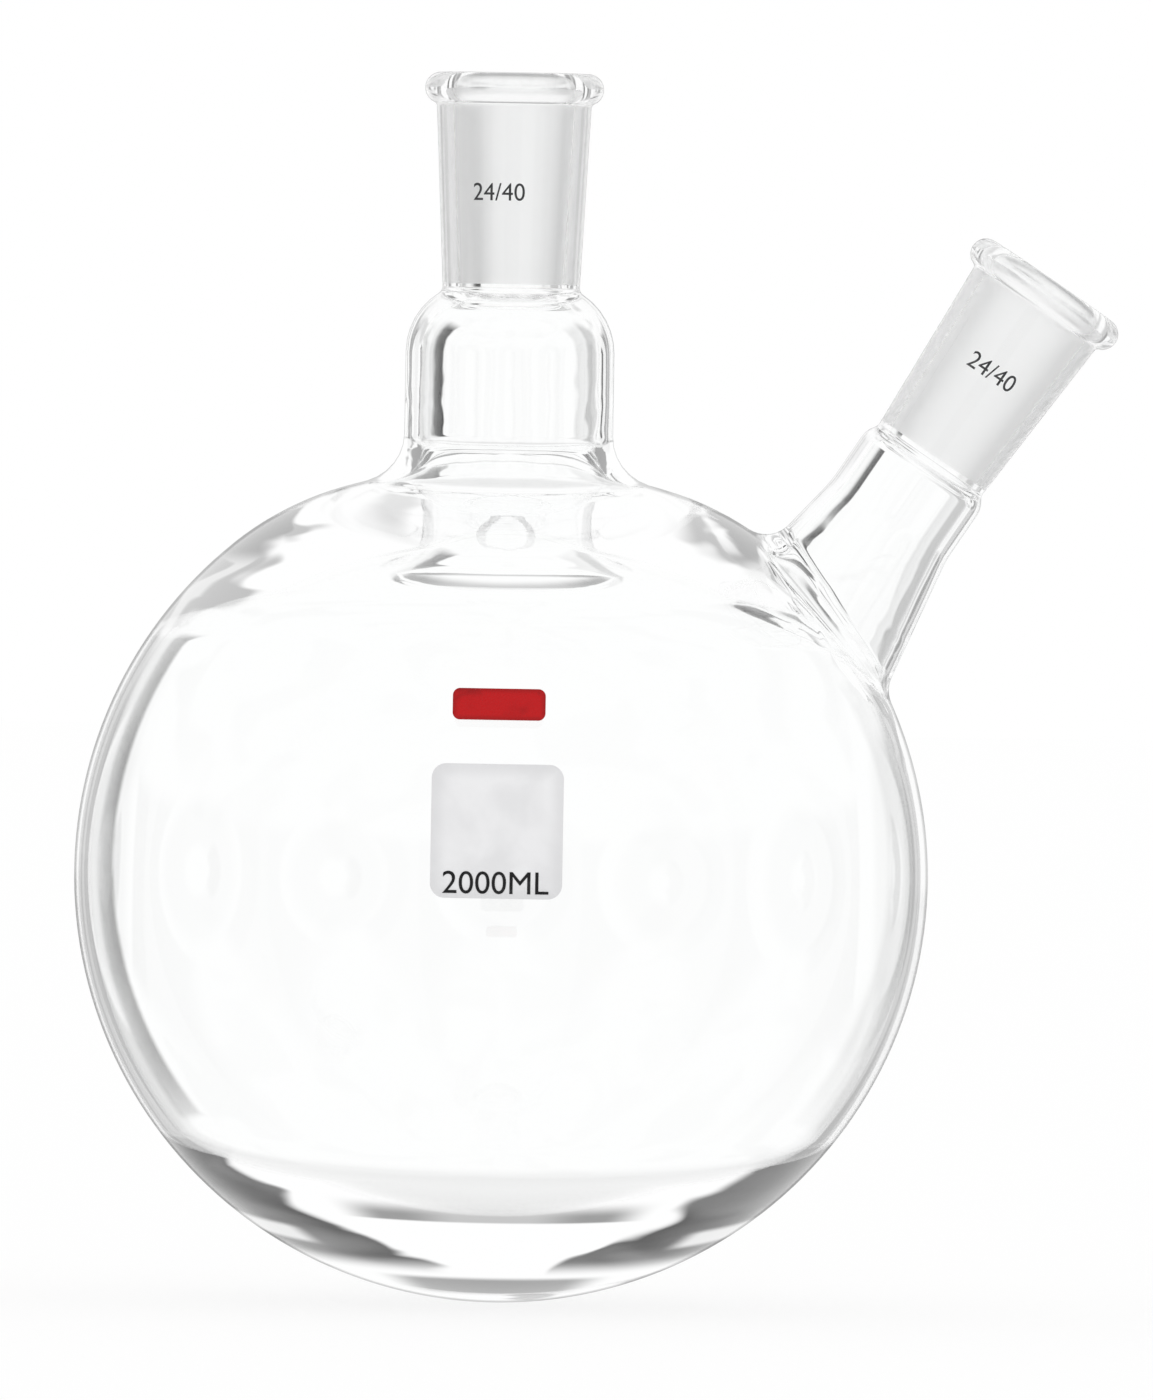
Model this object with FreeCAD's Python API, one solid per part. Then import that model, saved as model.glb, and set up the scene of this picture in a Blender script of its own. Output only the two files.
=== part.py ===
import FreeCAD, Part
import math
import os

# A two-neck round-bottom flask blown in borosilicate glass: one round bulb with a heavy floor,
# a wide centre neck with a shouldered ground socket, and a narrower side neck sealed on at a
# slant, well off the middle of the bulb. All sizes are in millimetres, all angles in degrees.
# The origin is the lowest point of the bulb, +Z runs up the centre neck, +X leans towards the
# side neck, and the printed marks face -Y.

# Driving dimensions of the bulb
bulb_diameter = 166.0
bulb_wall = 2.9
floor_thickness = 8.5
crown_drop = 3.1
crown_thickness = 6.5
outer_flattening = 27.0
inner_flattening = 14.9
outer_blend_radius = 60.0
inner_blend_radius = 40.0

# Driving dimensions that both ground joints share
neck_reach = 73.0
socket_mouth_diameter = 24.0
socket_length = 40.0
socket_taper = 10.0
mouth_land = 1.0
mouth_round = 0.9
socket_heel = 1.5
bead_height = 6.2
bead_corner_round = 0.8
shoulder_corner_round = 1.5
inner_lip_round = 1.0

# Driving dimensions of the centre neck
centre_tube_wall = 2.9
centre_shoulder_step = 7.0
centre_shoulder_radius = 13.6
centre_joint_foot_wall = 3.3
centre_joint_top_wall = 3.05
centre_bead_overhang = 2.35
centre_flare_radius = 9.5

# Driving dimensions of the side neck
side_tilt = 33.5
side_offset = 23.0
side_tube_wall = 2.4
side_shoulder_step = 1.45
side_shoulder_radius = 4.8
side_joint_foot_wall = 2.15
side_joint_top_wall = 2.3
side_bead_overhang = 2.5
side_straight_length = 8.8
side_flare_angle = 9.5
side_bend_round = 20.0
side_flare_radius = 6.0

# Driving dimensions of the enamel marks on the front of the bulb
enamel_thickness = 0.12
spot_width = 25.3
spot_height = 25.7
spot_corner = 2.8
spot_rise = 10.4
bar_width = 17.8
bar_height = 6.0
bar_corner = 1.4
bar_rise = 34.6
marks_side_shift = -0.7

# Slack for cuts that must run clear of a surface, and for telling whether a point lies on one
clearance = 2.0
tolerance = 1e-4

bulb_radius = bulb_diameter / 2
bulb_centre = FreeCAD.Vector(0, 0, bulb_radius)
cavity_radius = bulb_radius - bulb_wall
crown_outer_radius = bulb_radius + outer_flattening
crown_inner_radius = cavity_radius + inner_flattening
floor_inner_radius = cavity_radius + inner_flattening
socket_mouth_radius = socket_mouth_diameter / 2
socket_foot_radius = socket_mouth_radius - socket_length / socket_taper / 2
centre_tube_radius = socket_foot_radius + centre_joint_foot_wall + centre_shoulder_step
side_tube_radius = socket_foot_radius + side_joint_foot_wall + side_shoulder_step
joint_body_length = mouth_land + socket_length + socket_heel
rim_distance = bulb_radius + neck_reach

# Halfway from the bulb's middle to its skin: deep enough for the root of the slanted neck
halfway_out = bulb_radius / 2

origin = FreeCAD.Vector(0, 0, 0)
upward = FreeCAD.Vector(0, 0, 1)
across = FreeCAD.Vector(1, 0, 0)
backward = FreeCAD.Vector(0, 1, 0)
full_turn = 360


def spot(radius, height):
    """A point of a half-section: its distance from the turning axis and its height."""
    return FreeCAD.Vector(0, radius, height)


def line(start, end):
    return Part.LineSegment(start, end).toShape()


def arc(start, middle, end):
    return Part.Arc(start, middle, end).toShape()


def bulge(start, end, centre, radius):
    """The short arc from start to end about a centre in the plane of the half-section."""
    middle = (start + end) / 2 - centre
    middle.normalize()
    return arc(start, centre + middle * radius, end)


def turned(edges):
    """The solid that a closed half-section sweeps round the Z axis, with its seam at the back."""
    return Part.Face(Part.Wire(edges)).revolve(origin, upward, full_turn)


def ball(radius, height):
    """A ball on the Z axis whose centre is at the given height."""
    foot = spot(0, height - radius)
    side = spot(radius, height)
    top = spot(0, height + radius)
    return turned([arc(foot, side, top), line(top, foot)])


def level_rings(shape, low, high):
    """The edges that lie level between two heights, such as the rim of a turned corner."""
    rings = []
    for edge in shape.Edges:
        box = edge.BoundBox
        if box.ZLength < tolerance and low < box.ZMin < high:
            rings.append(edge)
    return rings


def ring_at(shape, radius, height):
    """The level edges of one radius at one height."""
    rings = []
    for edge in level_rings(shape, height - tolerance, height + tolerance):
        start = edge.valueAt(edge.FirstParameter)
        if abs(math.hypot(start.x, start.y) - radius) < tolerance * radius:
            rings.append(edge)
    return rings


def mouth_rings(shape, rim_centre):
    """The inner edge of a mouth whose rim has its middle at the given point."""
    mouth_radius = socket_mouth_radius + mouth_land / socket_taper / 2
    rings = []
    for edge in shape.Edges:
        start = edge.valueAt(edge.FirstParameter)
        middle = edge.valueAt((edge.FirstParameter + edge.LastParameter) / 2)
        start_off = abs((start - rim_centre).Length - mouth_radius)
        middle_off = abs((middle - rim_centre).Length - mouth_radius)
        if max(start_off, middle_off) < tolerance:
            rings.append(edge)
    return rings


def side_frame(shape):
    """Moves a neck drawn about the Z axis to its slanted place off the middle of the bulb."""
    placed = shape.copy()
    placed.translate(across * side_offset)
    placed.rotate(origin, backward, side_tilt)
    placed.translate(bulb_centre)
    return placed


# Outside of a neck with its ground joint. Heights run along the neck, from the bulb's centre.
def neck_outside(tube_radius, shoulder_radius, foot_wall, top_wall, bead_overhang, foot):
    joint_foot_radius = socket_foot_radius + foot_wall
    joint_top_radius = socket_mouth_radius + top_wall
    bead_radius = joint_top_radius + bead_overhang
    bead_round = bead_height / 2
    bead_centre = spot(bead_radius - bead_round, rim_distance - bead_round)
    bead_rise = math.sqrt(bead_round**2 - (joint_top_radius - bead_centre.y) ** 2)
    under_bead = spot(joint_top_radius, bead_centre.z - bead_rise)
    bead_side = spot(bead_radius, bead_centre.z)
    bead_top = spot(bead_centre.y, rim_distance)
    joint_foot = spot(joint_foot_radius, rim_distance - joint_body_length)
    shoulder_rise = math.sqrt(
        shoulder_radius**2 - (joint_foot_radius - tube_radius + shoulder_radius) ** 2
    )
    shoulder_foot = spot(tube_radius, joint_foot.z - shoulder_rise)
    shoulder_centre = spot(tube_radius - shoulder_radius, shoulder_foot.z)
    section = foot(shoulder_foot)
    section += [
        bulge(shoulder_foot, joint_foot, shoulder_centre, shoulder_radius),
        line(joint_foot, under_bead),
        arc(under_bead, bead_side, bead_top),
        line(bead_top, spot(0, rim_distance)),
        line(spot(0, rim_distance), section[0].firstVertex().Point),
    ]
    neck = turned(section)
    neck = neck.makeFillet(shoulder_corner_round, ring_at(neck, joint_foot.y, joint_foot.z))
    return neck.makeFillet(bead_corner_round, ring_at(neck, under_bead.y, under_bead.z))


# Bore of a neck: the ground socket, a short land under it, and the wider tube below.
def neck_inside(tube_radius, shoulder_radius, foot_wall, wall, foot):
    joint_foot_radius = socket_foot_radius + foot_wall
    bore_top = rim_distance + clearance
    mouth_widening = (mouth_land + clearance) / socket_taper / 2
    mouth = spot(socket_mouth_radius + mouth_widening, bore_top)
    socket_foot = spot(socket_foot_radius, rim_distance - mouth_land - socket_length)
    joint_foot_height = rim_distance - joint_body_length
    shoulder_rise = math.sqrt(
        shoulder_radius**2 - (joint_foot_radius - tube_radius + shoulder_radius) ** 2
    )
    bore_radius = tube_radius - wall
    inner_round = shoulder_radius - wall
    shoulder_foot = spot(bore_radius, joint_foot_height - shoulder_rise)
    shoulder_centre = spot(bore_radius - inner_round, shoulder_foot.z)
    lip_rise = math.sqrt(inner_round**2 - (socket_foot_radius - shoulder_centre.y) ** 2)
    lip = spot(socket_foot_radius, shoulder_foot.z + lip_rise)
    section = foot(shoulder_foot)
    section += [
        bulge(shoulder_foot, lip, shoulder_centre, inner_round),
        line(lip, socket_foot),
        line(socket_foot, mouth),
        line(mouth, spot(0, bore_top)),
        line(spot(0, bore_top), section[0].firstVertex().Point),
    ]
    bore = turned(section)
    return bore.makeFillet(inner_lip_round, ring_at(bore, lip.y, lip.z))


def straight_foot(shoulder_foot):
    """A plain tube that runs down to the middle of the bulb."""
    foot = spot(shoulder_foot.y, 0)
    return [line(spot(0, 0), foot), line(foot, shoulder_foot)]


def flared_foot(shoulder_foot):
    """A short straight tube that widens as a cone on its way into the bulb."""
    slope = math.radians(side_flare_angle)
    bend_round = side_bend_round + side_tube_radius - shoulder_foot.y
    bend_top = spot(shoulder_foot.y, shoulder_foot.z - side_straight_length)
    bend_centre = spot(bend_top.y + bend_round, bend_top.z)
    bend_end = bend_centre - spot(math.cos(slope), math.sin(slope)) * bend_round
    widening = (bend_end.z - halfway_out) * math.tan(slope)
    foot = spot(bend_end.y + widening, halfway_out)
    return [
        line(spot(0, halfway_out), foot),
        line(foot, bend_end),
        bulge(bend_end, bend_top, bend_centre, bend_round),
        line(bend_top, shoulder_foot),
    ]


def seal_edges(shape, sphere_radius, tube_radius):
    """The edges where the slanted side neck runs into the round of the bulb."""
    axis = FreeCAD.Rotation(backward, side_tilt).multVec(upward)
    axis_foot = bulb_centre + FreeCAD.Rotation(backward, side_tilt).multVec(across) * side_offset
    found = []
    for edge in shape.Edges:
        middle = edge.valueAt((edge.FirstParameter + edge.LastParameter) / 2)
        on_bulb = abs((middle - bulb_centre).Length - sphere_radius) < tolerance
        beside_axis = (middle - axis_foot).cross(axis).Length
        if on_bulb and tube_radius < beside_axis < halfway_out:
            found.append(edge)
    return found


# Outer skin: the round bulb, pressed a little flat where the centre neck grows out of it, with
# both necks on it and every seal drawn out into a smooth hollow curve.
def flask_outside():
    crown_pole = bulb_diameter - crown_drop
    skin = ball(bulb_radius, bulb_radius).common(
        ball(crown_outer_radius, crown_pole - crown_outer_radius)
    )
    skin = skin.makeFillet(outer_blend_radius, level_rings(skin, bulb_radius, crown_pole))
    centre_neck = neck_outside(
        centre_tube_radius,
        centre_shoulder_radius,
        centre_joint_foot_wall,
        centre_joint_top_wall,
        centre_bead_overhang,
        straight_foot,
    )
    centre_neck.translate(bulb_centre)
    skin = skin.fuse(centre_neck)
    seal_height = crown_pole - crown_outer_radius + math.sqrt(
        crown_outer_radius**2 - centre_tube_radius**2
    )
    skin = skin.makeFillet(centre_flare_radius, ring_at(skin, centre_tube_radius, seal_height))
    side_neck = neck_outside(
        side_tube_radius,
        side_shoulder_radius,
        side_joint_foot_wall,
        side_joint_top_wall,
        side_bead_overhang,
        flared_foot,
    )
    skin = skin.fuse(side_frame(side_neck))
    return skin.makeFillet(side_flare_radius, seal_edges(skin, bulb_radius, side_tube_radius))


# Hollow of the flask: a round cavity over a flatter, heavier floor and under a heavier crown,
# with the bores of both necks opening into it through rounded mouths.
def flask_inside():
    crown_ceiling = bulb_diameter - crown_drop - crown_thickness
    cavity = ball(cavity_radius, bulb_radius)
    cavity = cavity.common(ball(floor_inner_radius, floor_thickness + floor_inner_radius))
    cavity = cavity.common(ball(crown_inner_radius, crown_ceiling - crown_inner_radius))
    cavity = cavity.makeFillet(inner_blend_radius, level_rings(cavity, 0, bulb_diameter))
    centre_bore_radius = centre_tube_radius - centre_tube_wall
    centre_bore = neck_inside(
        centre_tube_radius,
        centre_shoulder_radius,
        centre_joint_foot_wall,
        centre_tube_wall,
        straight_foot,
    )
    centre_bore.translate(bulb_centre)
    cavity = cavity.fuse(centre_bore)
    mouth_height = crown_ceiling - crown_inner_radius + math.sqrt(
        crown_inner_radius**2 - centre_bore_radius**2
    )
    inner_flare = centre_flare_radius + centre_tube_wall
    cavity = cavity.makeFillet(inner_flare, ring_at(cavity, centre_bore_radius, mouth_height))
    side_bore_radius = side_tube_radius - side_tube_wall
    side_bore = neck_inside(
        side_tube_radius,
        side_shoulder_radius,
        side_joint_foot_wall,
        side_tube_wall,
        flared_foot,
    )
    cavity = cavity.fuse(side_frame(side_bore))
    inner_flare = side_flare_radius + side_tube_wall
    return cavity.makeFillet(inner_flare, seal_edges(cavity, cavity_radius, side_bore_radius))


# The whole flask is one blown and sealed piece of glass with two fire-polished mouths.
def flask():
    glass = flask_outside().cut(flask_inside())
    centre_rim = bulb_centre + upward * rim_distance
    side_rim = side_frame(Part.Vertex(upward * rim_distance)).Point
    mouths = mouth_rings(glass, centre_rim) + mouth_rings(glass, side_rim)
    return glass.makeFillet(mouth_round, mouths)


# An enamel mark is fired onto the front of the bulb: a thin patch that follows its curve.
def enamel_mark(width, height, corner, rise):
    block = Part.makeBox(width, bulb_radius, height)
    long_edges = []
    for edge in block.Edges:
        if edge.BoundBox.YLength > halfway_out:
            long_edges.append(edge)
    block = block.makeFillet(corner, long_edges)
    left = marks_side_shift - width / 2
    front = -bulb_radius - halfway_out
    bottom = bulb_radius + rise - height / 2
    block.translate(FreeCAD.Vector(left, front, bottom))
    skin = ball(bulb_radius + enamel_thickness, bulb_radius).cut(ball(bulb_radius, bulb_radius))
    return skin.common(block)


nodes = {
    "flask": flask(),
    "marking_spot": enamel_mark(spot_width, spot_height, spot_corner, spot_rise),
    "colour_bar": enamel_mark(bar_width, bar_height, bar_corner, bar_rise),
}

os.makedirs("parts", exist_ok=True)
for name, shape in nodes.items():
    shape.exportStep("parts/" + name + ".step")
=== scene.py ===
import bmesh
import bpy
import math
from mathutils import Matrix, Vector, geometry


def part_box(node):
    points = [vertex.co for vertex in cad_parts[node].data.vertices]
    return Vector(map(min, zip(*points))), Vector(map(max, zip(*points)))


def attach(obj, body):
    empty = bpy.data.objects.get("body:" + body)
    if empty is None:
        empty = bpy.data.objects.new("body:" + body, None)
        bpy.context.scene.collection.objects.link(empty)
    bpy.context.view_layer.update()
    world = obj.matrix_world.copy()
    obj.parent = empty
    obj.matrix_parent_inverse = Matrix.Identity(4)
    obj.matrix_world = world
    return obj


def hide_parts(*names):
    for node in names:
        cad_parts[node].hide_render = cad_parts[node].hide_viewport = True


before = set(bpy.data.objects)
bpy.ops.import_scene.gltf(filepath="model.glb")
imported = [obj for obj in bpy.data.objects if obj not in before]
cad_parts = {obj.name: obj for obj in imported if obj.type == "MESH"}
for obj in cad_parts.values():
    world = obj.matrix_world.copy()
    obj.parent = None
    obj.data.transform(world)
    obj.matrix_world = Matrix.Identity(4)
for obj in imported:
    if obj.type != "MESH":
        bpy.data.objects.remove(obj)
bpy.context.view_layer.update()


# The flask is one piece of clear borosilicate glass. The bulb is blown with a heavy floor, its
# crown is drawn up into a wide neck, and a narrower neck is sealed on at a slant; both necks end
# in a shouldered socket with a beaded, fire-polished rim.
bulb_radius = 0.083
bulb_wall = 0.0029
floor_thickness = 0.0085
crown_drop = 0.0031
crown_thickness = 0.0065
outer_flattening = 0.027
inner_flattening = 0.0149
outer_blend = 0.060
inner_blend = 0.040
rim_distance = 0.156
socket_mouth = 0.012
socket_foot = 0.010
socket_length = 0.040
mouth_land = 0.001
mouth_round = 0.0009
socket_heel = 0.0015
bead_round = 0.0031
bead_corner = 0.0008
shoulder_corner = 0.0015
lip_round = 0.001
columns = 192
tube_rows = 6
joint_rows = 14
rim_rows = 2
ground_rows = 18
bulb_step = 0.0026
corner_step = math.radians(15)
hair = 1e-7
bulb_middle = Vector((0, 0, bulb_radius))


class Section:
    """A half-section of the glass: places, the way the glass faces there, and whether ground."""

    def __init__(self):
        self.spots = []

    def add(self, place, facing, ground=False):
        if not self.spots or (place - self.spots[-1][0]).length > hair:
            self.spots.append((place.copy(), facing.copy(), ground))

    def line(self, start, end, facing, steps, ground=False):
        for step in range(steps + 1):
            self.add(start.lerp(end, step / steps), facing, ground)

    def bend(self, start, end, middle, hollow):
        """The short arc from start to end about its middle; a hollow one faces its middle."""
        first, last = start - middle, end - middle
        opening = math.atan2(first.x, first.y)
        sweep = math.remainder(math.atan2(last.x, last.y) - opening, math.tau)
        steps = math.ceil(abs(sweep) * max(first.length / bulb_step, 1 / corner_step))
        for step in range(steps + 1):
            angle = opening + sweep * step / steps
            way = Vector((math.sin(angle), math.cos(angle)))
            self.add(middle + way * first.length, -way if hollow else way)


def meeting(first, first_reach, second, second_reach):
    """The place off the axis that lies at given distances from two others."""
    gap = second - first
    along = (first_reach**2 - second_reach**2 + gap.length_squared) / (2 * gap.length)
    aside = math.sqrt(first_reach**2 - along**2)
    way = gap.normalized()
    across = Vector((way.y, -way.x))
    return max((first + way * along + across * side for side in (aside, -aside)), key=lambda spot: spot.x)


def beside(start, facing, offset, middle, reach, upper):
    """A place off a straight run by one distance and off a point by another."""
    way = Vector((-facing.y, facing.x))
    base = start + facing * offset
    along = (middle - base).dot(way)
    aside = (middle - base - way * along).length
    slide = math.sqrt(reach**2 - aside**2)
    return base + way * (along + slide if upper else along - slide)


class Skin:
    """One skin of the bulb: a ball, a flatter crown and the soft knee that joins them."""

    def __init__(self, radius, crown_pole, flattening, blend):
        self.radius = radius
        self.ball = Vector((0, bulb_radius))
        self.crown_radius = radius + flattening
        self.crown = Vector((0, crown_pole - self.crown_radius))
        self.blend = blend
        self.knee = meeting(self.ball, radius - blend, self.crown, self.crown_radius - blend)
        self.knee_low = self.ball + (self.knee - self.ball).normalized() * radius
        self.knee_high = self.crown + (self.knee - self.crown).normalized() * self.crown_radius

    def nearest(self, place):
        """How far a place outside the skin lies from it, and the way the skin faces there."""
        flat = Vector((math.hypot(place.x, place.y), place.z))
        middle, radius = self.knee, self.blend
        if (flat - self.ball).cross(self.knee - self.ball) > 0:
            middle, radius = self.ball, self.radius
        elif (flat - self.crown).cross(self.knee - self.crown) < 0:
            middle, radius = self.crown, self.crown_radius
        way = (flat - middle).normalized()
        turn = Vector((place.x, place.y)).normalized()
        return (flat - middle).length - radius, Vector((turn.x * way.x, turn.y * way.x, way.y))


def joint(section, rim, tube, shoulder, foot_wall, top_wall, overhang, tube_wall, outer_end, inner_end):
    """A socket joint: up its shouldered outside, over the bead, and down its bore to the tube."""
    foot = Vector((socket_foot + foot_wall, rim - mouth_land - socket_length - socket_heel))
    top = socket_mouth + top_wall
    bead = Vector((top + overhang - bead_round, rim - bead_round))
    under_bead = Vector((top, bead.y - math.sqrt(bead_round**2 - (top - bead.x) ** 2)))
    middle = Vector((tube - shoulder, 0))
    middle.y = foot.y - math.sqrt(shoulder**2 - (foot.x - middle.x) ** 2)
    run = (under_bead - foot).normalized()
    facing = Vector((run.y, -run.x))
    corner = beside(foot, facing, shoulder_corner, middle, shoulder + shoulder_corner, True)
    nick = beside(foot, facing, bead_corner, bead, bead_round + bead_corner, False)
    shoulder_low = Vector((tube, middle.y))
    shoulder_high = middle + (corner - middle).normalized() * shoulder
    joint_low = corner - facing * shoulder_corner
    joint_high = nick - facing * bead_corner
    bead_low = bead + (nick - bead).normalized() * bead_round
    bead_top = Vector((bead.x, rim))
    section.line(outer_end, shoulder_low, Vector((1, 0)), tube_rows)
    section.bend(shoulder_low, shoulder_high, middle, False)
    section.bend(shoulder_high, joint_low, corner, True)
    section.line(joint_low, joint_high, facing, joint_rows)
    section.bend(joint_high, bead_low, nick, True)
    section.bend(bead_low, bead_top, bead, False)
    taper = math.atan((socket_mouth - socket_foot) / socket_length)
    inward = Vector((-math.cos(taper), math.sin(taper)))
    edge = socket_mouth + mouth_land * math.tan(taper)
    mouth = Vector((edge + mouth_round / math.cos(taper) - mouth_round * math.tan(taper), rim - mouth_round))
    mouth_high = Vector((mouth.x, rim))
    mouth_low = mouth + inward * mouth_round
    ground_low = Vector((socket_foot, rim - mouth_land - socket_length))
    section.line(bead_top, mouth_high, Vector((0, 1)), rim_rows)
    section.bend(mouth_high, mouth_low, mouth, False)
    section.line(mouth_low, ground_low, inward, ground_rows, True)
    hollow = shoulder - tube_wall
    lip = Vector((socket_foot + lip_round, 0))
    lip.y = middle.y + math.sqrt((hollow + lip_round) ** 2 - (lip.x - middle.x) ** 2)
    lip_high = Vector((socket_foot, lip.y))
    lip_low = middle + (lip - middle).normalized() * hollow
    bore_high = Vector((tube - tube_wall, middle.y))
    section.line(ground_low, lip_high, Vector((-1, 0)), rim_rows)
    section.bend(lip_high, lip_low, lip, False)
    section.bend(lip_low, bore_high, middle, True)
    section.line(bore_high, inner_end, Vector((-1, 0)), tube_rows)


crown_pole = 2 * bulb_radius - crown_drop
outer_skin = Skin(bulb_radius, crown_pole, outer_flattening, outer_blend)
inner_skin = Skin(bulb_radius - bulb_wall, crown_pole - crown_thickness, inner_flattening, inner_blend)

centre_tube = 0.0203
centre_wall = 0.0029
centre_shoulder = 0.0136
centre_foot_wall = 0.0033
centre_top_wall = 0.00305
centre_overhang = 0.00235
centre_flare = 0.0095


def flare_middle(skin, tube, flare):
    """The middle of the hollow curve that draws a tube out of the crown."""
    reach = skin.crown_radius + flare
    return Vector((tube + flare, skin.crown.y + math.sqrt(reach**2 - (tube + flare) ** 2)))


outer_flare = flare_middle(outer_skin, centre_tube, centre_flare)
inner_flare = flare_middle(inner_skin, centre_tube - centre_wall, centre_flare + centre_wall)
outer_flare_low = outer_skin.crown + (outer_flare - outer_skin.crown).normalized() * outer_skin.crown_radius
inner_flare_low = inner_skin.crown + (inner_flare - inner_skin.crown).normalized() * inner_skin.crown_radius
outer_tube_low = Vector((centre_tube, outer_flare.y))
inner_tube_low = Vector((centre_tube - centre_wall, inner_flare.y))
floor_radius = inner_skin.crown_radius
floor_middle = Vector((0, floor_thickness + floor_radius))
floor_knee = meeting(
    inner_skin.ball, inner_skin.radius - inner_blend, floor_middle, floor_radius - inner_blend
)
floor_high = inner_skin.ball + (floor_knee - inner_skin.ball).normalized() * inner_skin.radius
floor_low = floor_middle + (floor_knee - floor_middle).normalized() * floor_radius

body = Section()
body.bend(Vector((0, 0)), outer_skin.knee_low, outer_skin.ball, False)
body.bend(outer_skin.knee_low, outer_skin.knee_high, outer_skin.knee, False)
body.bend(outer_skin.knee_high, outer_flare_low, outer_skin.crown, False)
outer_rows = len(body.spots)
body.bend(outer_flare_low, outer_tube_low, outer_flare, True)
joint(
    body,
    bulb_radius + rim_distance,
    centre_tube,
    centre_shoulder,
    centre_foot_wall,
    centre_top_wall,
    centre_overhang,
    centre_wall,
    outer_tube_low,
    inner_tube_low,
)
body.bend(inner_tube_low, inner_flare_low, inner_flare, False)
inner_rows = len(body.spots)
body.bend(inner_flare_low, inner_skin.knee_high, inner_skin.crown, True)
body.bend(inner_skin.knee_high, inner_skin.knee_low, inner_skin.knee, True)
body.bend(inner_skin.knee_low, floor_high, inner_skin.ball, True)
body.bend(floor_high, floor_low, floor_knee, True)
body.bend(floor_low, Vector((0, floor_thickness)), floor_middle, True)

side_tilt = math.radians(33.5)
side_offset = 0.023
side_tube = 0.0136
side_wall = 0.0024
side_shoulder = 0.0048
side_foot_wall = 0.00215
side_top_wall = 0.0023
side_overhang = 0.0025
side_straight = 0.0088
side_flare_angle = math.radians(9.5)
side_bend = 0.020
side_flare = 0.006
side_up = Vector((math.sin(side_tilt), 0, math.cos(side_tilt)))
side_across = Vector((math.cos(side_tilt), 0, -math.sin(side_tilt)))
side_foot = bulb_middle + side_across * side_offset
side_back = Vector((0, 1, 0))
cone_steps = 6
seal_steps = 9
seal_reach = 0.060
seal_margin = 0.0011


def round_side(angle):
    """The way out from the side neck's axis at an angle round it."""
    return side_across * math.cos(angle) + side_back * math.sin(angle)


def side_spot(place, facing, angle):
    """A spot of the side neck's half-section, turned about the slanted axis."""
    out = round_side(angle)
    return side_foot + side_up * place.y + out * place.x, side_up * facing.y + out * facing.x


def seal(skin, start, flare, angle, outside):
    """From the tube's cone to the bulb's skin over a rolling hollow curve, at one angle."""
    down = Vector((math.sin(side_flare_angle), -math.cos(side_flare_angle)))
    facing = Vector((math.cos(side_flare_angle), math.sin(side_flare_angle)))
    low, high = 0.0, seal_reach
    while high - low > hair / 1000:
        slide = (low + high) / 2
        middle, out = side_spot(start + down * slide + facing * flare, facing, angle)
        if skin.nearest(middle)[0] > flare:
            low = slide
        else:
            high = slide
    landing = skin.nearest(middle)[1]
    spots = []
    for step in range(cone_steps):
        place = start + down * (slide * step / cone_steps)
        spot, way = side_spot(place, facing, angle)
        spots.append((spot, way if outside else -way))
    for step in range(seal_steps + 1):
        way = out.slerp(landing, step / seal_steps)
        spots.append((middle - way * flare, way if outside else -way))
    return spots


joint_foot = rim_distance - mouth_land - socket_length - socket_heel
side_shoulder_low = joint_foot - math.sqrt(
    side_shoulder**2 - (socket_foot + side_foot_wall - side_tube + side_shoulder) ** 2
)
bend_top = side_shoulder_low - side_straight
bend_middle = Vector((side_tube + side_bend, bend_top))
bend_way = Vector((math.cos(side_flare_angle), math.sin(side_flare_angle)))
outer_bend_low = bend_middle - bend_way * side_bend
inner_bend_low = bend_middle - bend_way * (side_bend + side_wall)
outer_bend_high = Vector((side_tube, bend_top))
inner_bend_high = Vector((side_tube - side_wall, bend_top))
side_neck = Section()
side_neck.bend(outer_bend_low, outer_bend_high, bend_middle, True)
joint(
    side_neck,
    rim_distance,
    side_tube,
    side_shoulder,
    side_foot_wall,
    side_top_wall,
    side_overhang,
    side_wall,
    outer_bend_high,
    inner_bend_high,
)
side_neck.bend(inner_bend_high, inner_bend_low, bend_middle, False)

vertices = []
facings = []
panes = []
ground_panes = []


def keep(place, facing):
    vertices.append(place)
    facings.append(facing)
    return len(vertices) - 1


def pane(corners, ground=False):
    """Adds a face, turned so that it looks the way its corners do."""
    first, second, third = (vertices[corner] for corner in corners[:3])
    look = sum((facings[corner] for corner in corners), Vector((0, 0, 0)))
    if (second - first).cross(third - second).dot(look) < 0:
        corners = corners[::-1]
    ground_panes.append(ground)
    panes.append(tuple(corners))


def stitch(first, second, ground):
    """Joins two rings of one turned wall; a ring of one spot is a pole."""
    size = max(len(first), len(second))
    for column in range(size):
        following = (column + 1) % size
        corners = [first[column % len(first)]]
        if len(first) > 1:
            corners.append(first[following])
        if len(second) > 1:
            corners.append(second[following])
        corners.append(second[column % len(second)])
        pane(corners, ground)


# Side neck first: its rings run from the outer seal over the rim to the inner seal.
side_columns = []
for column in range(columns):
    angle = math.tau * column / columns
    outer = seal(outer_skin, outer_bend_low, side_flare, angle, True)
    inner = seal(inner_skin, inner_bend_low, side_flare + side_wall, angle, False)
    middle = [side_spot(place, facing, angle) for place, facing, ground in side_neck.spots]
    side_columns.append([keep(*spot) for spot in outer[::-1] + middle[1:-1] + inner])
side_rings = [[side_columns[column][row] for column in range(columns)] for row in range(len(side_columns[0]))]
ground_start = cone_steps + seal_steps
side_ground = [spot[2] for spot in side_neck.spots]
side_ground = [False] * ground_start + side_ground + [False] * ground_start
for row in range(len(side_rings) - 1):
    stitch(side_rings[row], side_rings[row + 1], side_ground[row] and side_ground[row + 1])


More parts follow.
